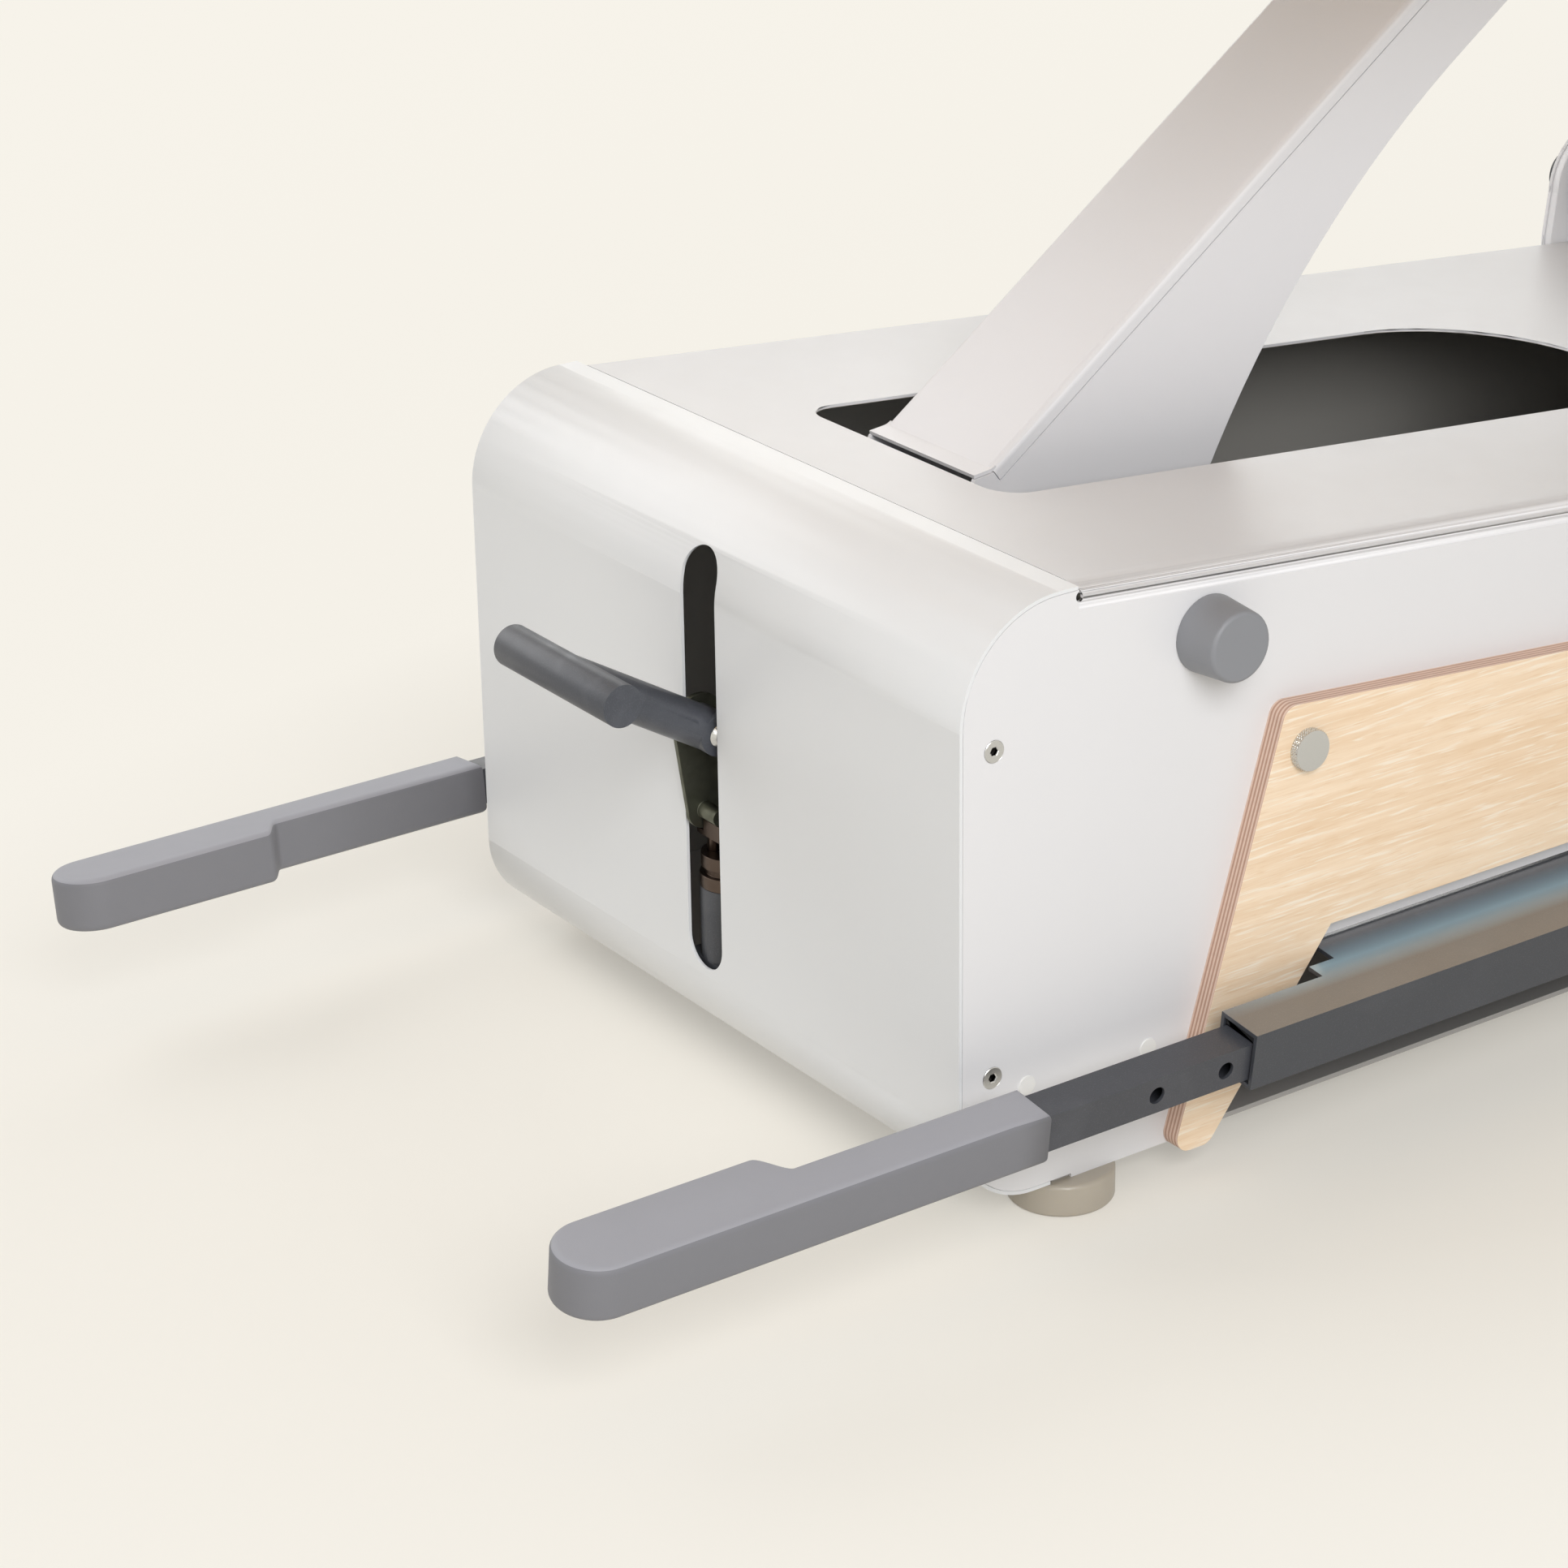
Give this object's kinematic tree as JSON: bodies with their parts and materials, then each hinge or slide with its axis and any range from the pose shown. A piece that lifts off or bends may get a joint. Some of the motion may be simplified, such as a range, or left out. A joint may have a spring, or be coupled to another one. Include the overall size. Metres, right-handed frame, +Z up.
{
  "type": "physiotherapy treatment table",
  "caption": "Hydraulic treatment table: low rounded base on feet, a curved lifting arm with rear links, padded two-section top, pump lever and side foot bars.",
  "frame": {"origin": "on the floor, below the middle of the table top", "axes": "+X from the head end to the leg end, +Y to the far side, +Z up"},
  "size_m": [1.95, 0.68, 0.8209],
  "materials": {
    "powder_white": "satin powder coat",
    "cover_white": "satin powder coat",
    "dark_frame": "satin dark grey powder coat",
    "steel": "bright zinc or nickel plate",
    "grey_cap": "matt moulded plastic",
    "oak": "light oak veneered plywood, clear matt lacquer",
    "plug_white": "matt moulded plastic",
    "foot_milk": "milky translucent soft plastic",
    "bush_plastic": "plain bearing plastic",
    "upholstery": "stitched synthetic leather over foam",
    "guide_black": "matt moulded plastic",
    "grip_rubber": "soft moulded rubber"
  },
  "bodies": {
    "base": {"base_shell": "powder_white", "front_cover": "cover_white", "rear_cover": "cover_white", "base_frame": "dark_frame", "pivot_plates": "powder_white", "front_pivot_shaft": "steel", "rear_pivot_shaft": "steel", "front_pivot_caps": "grey_cap", "rear_pivot_caps": "dark_frame", "side_panel_near": "oak", "side_panel_far": "oak", "panel_thumb_screws": "steel", "cover_screws": "steel", "hole_plugs": "plug_white", "foot_pads": "foot_milk", "pump_body": "dark_frame", "pump_gland": "steel", "hydraulic_line": "steel", "ram_foot_pin": "steel", "treadle_shafts": "steel"},
    "main_arm": {"arm_side_near": "powder_white", "arm_side_far": "powder_white", "arm_front_panel": "powder_white", "arm_spine": "powder_white", "arm_pivot_tube": "dark_frame", "arm_bushes": "bush_plastic", "arm_head_tube": "dark_frame", "ram_head_pin": "steel"},
    "rear_arm": {"rear_link_near": "dark_frame", "rear_link_far": "dark_frame", "rear_cross_tube": "dark_frame", "rear_bushes": "bush_plastic"},
    "top_frame": {"top_rail_near": "powder_white", "top_rail_far": "powder_white", "top_cross_tubes": "powder_white", "top_front_shaft": "steel", "top_rear_shaft": "steel", "body_board": "oak", "body_cushion": "upholstery", "head_hinge_leaf": "steel", "gas_spring_anchor": "steel"},
    "head": {"head_board": "oak", "head_cushion": "upholstery", "head_frame": "powder_white"},
    "gas_body": {"gas_spring_body": "dark_frame"},
    "gas_rod": {"gas_spring_rod": "steel"},
    "ram_barrel": {"ram_barrel": "dark_frame"},
    "ram_rod": {"ram_rod": "steel"},
    "pump_lever": {"pump_lever": "dark_frame", "pump_crank": "steel", "pump_lever_bolt": "steel"},
    "pump_plunger": {"pump_plunger": "steel"},
    "treadle_near": {"treadle_near": "dark_frame", "treadle_guides_near": "guide_black"},
    "treadle_far": {"treadle_far": "dark_frame", "treadle_guides_far": "guide_black"},
    "foot_bar_near": {"foot_tube_near": "dark_frame", "foot_grip_near": "grip_rubber"},
    "foot_bar_far": {"foot_tube_far": "dark_frame", "foot_grip_far": "grip_rubber"}
  },
  "joints": [
    {"name": "lift", "type": "hinge", "parent": "base", "child": "main_arm", "pos_m": [-0.389, 0, 0.3113], "axis": [0, -1, 0], "range_deg": [-28, 10]},
    {"name": "rear_links", "type": "hinge", "parent": "base", "child": "rear_arm", "pos_m": [0.361, 0, 0.324], "axis": [0, -1, 0], "range_deg": [-28, 10]},
    {"name": "top_level", "type": "hinge", "parent": "main_arm", "child": "top_frame", "pos_m": [0.16146, 0, 0.71394], "axis": [0, -1, 0], "range_deg": [-10, 28]},
    {"name": "ram_swing", "type": "hinge", "parent": "base", "child": "ram_barrel", "pos_m": [-0.36211, 0, 0.0943], "axis": [0, 1, 0], "range_deg": [-1, 1]},
    {"name": "ram_stroke", "type": "slide", "parent": "ram_barrel", "child": "ram_rod", "axis": [0.277, 0, 0.9609], "range_m": [-0.0425, 0.0152]},
    {"name": "pump_lever", "type": "hinge", "parent": "base", "child": "pump_lever", "pos_m": [-0.505, 0, 0.167], "axis": [0, -1, 0], "range_deg": [0, 17], "stiffness_Nm_per_rad": 8, "springref_deg": -20.05},
    {"name": "pump_plunger", "type": "slide", "parent": "base", "child": "pump_plunger", "axis": [0, 0, 1], "range_m": [-0.0108, 0]},
    {"name": "treadle_near", "type": "hinge", "parent": "base", "child": "treadle_near", "pos_m": [0, -0.12355, 0.11235], "axis": [1, 0, 0], "range_deg": [0, 8], "stiffness_Nm_per_rad": 60, "springref_deg": -11.46},
    {"name": "treadle_far", "type": "hinge", "parent": "base", "child": "treadle_far", "pos_m": [0, 0.12355, 0.11235], "axis": [-1, 0, 0], "range_deg": [0, 8], "stiffness_Nm_per_rad": 60, "springref_deg": -11.46},
    {"name": "foot_bar_near", "type": "slide", "parent": "treadle_near", "child": "foot_bar_near", "axis": [1, 0, 0], "range_m": [-0.094, 0.094]},
    {"name": "foot_bar_far", "type": "slide", "parent": "treadle_far", "child": "foot_bar_far", "axis": [1, 0, 0], "range_m": [-0.094, 0.094]},
    {"name": "head_tilt", "type": "hinge", "parent": "top_frame", "child": "head", "pos_m": [-0.415, 0, 0.73894], "axis": [0, 1, 0], "range_deg": [-12, 20]},
    {"name": "gas_swing", "type": "hinge", "parent": "top_frame", "child": "gas_body", "pos_m": [-0.095, 0.128, 0.72594], "axis": [0, 1, 0], "range_deg": [-0.7, 1.2]},
    {"name": "gas_stroke", "type": "slide", "parent": "gas_body", "child": "gas_rod", "axis": [-0.9957, 0, -0.093], "range_m": [-0.0087, 0.0145]}
  ],
  "couplings": [
    {"joint": "rear_links", "follows": "lift", "ratio": 1},
    {"joint": "top_level", "follows": "lift", "ratio": -1},
    {"joint": "ram_swing", "follows": "lift", "ratio": -0.03003},
    {"joint": "ram_stroke", "follows": "lift", "m_per_rad": 0.08659},
    {"joint": "pump_plunger", "follows": "pump_lever", "m_per_rad": -0.036},
    {"joint": "gas_swing", "follows": "head_tilt", "ratio": 0.05542},
    {"joint": "gas_stroke", "follows": "head_tilt", "m_per_rad": 0.04115}
  ]
}
